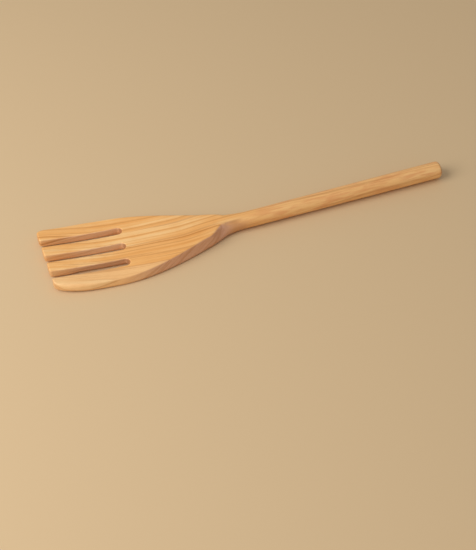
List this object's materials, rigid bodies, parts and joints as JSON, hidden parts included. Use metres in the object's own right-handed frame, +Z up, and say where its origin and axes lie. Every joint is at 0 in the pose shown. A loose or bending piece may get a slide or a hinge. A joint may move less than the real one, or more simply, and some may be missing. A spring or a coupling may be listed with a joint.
{
  "type": "wooden serving fork",
  "caption": "Flat wooden serving fork with a long round handle, a flared blade and slotted tines that curl up a little, for turning and lifting food.",
  "frame": {"origin": "middle of the fork's box in plan, on the surface that the fork lies on", "axes": "+X from the tips of the tines to the end of the handle, +Y to the side that the head is set to, +Z up out of the top face"},
  "size_m": [0.3, 0.0658, 0.0128],
  "materials": {
    "wood": "light reddish hardwood, sanded and lightly oiled, satin, with thin growth lines along its length"
  },
  "bodies": {
    "root": {"handle": "wood", "neck": "wood", "blade": "wood", "tine_1": "wood", "tine_2": "wood", "tine_3": "wood", "tine_4": "wood"}
  },
  "joints": []
}
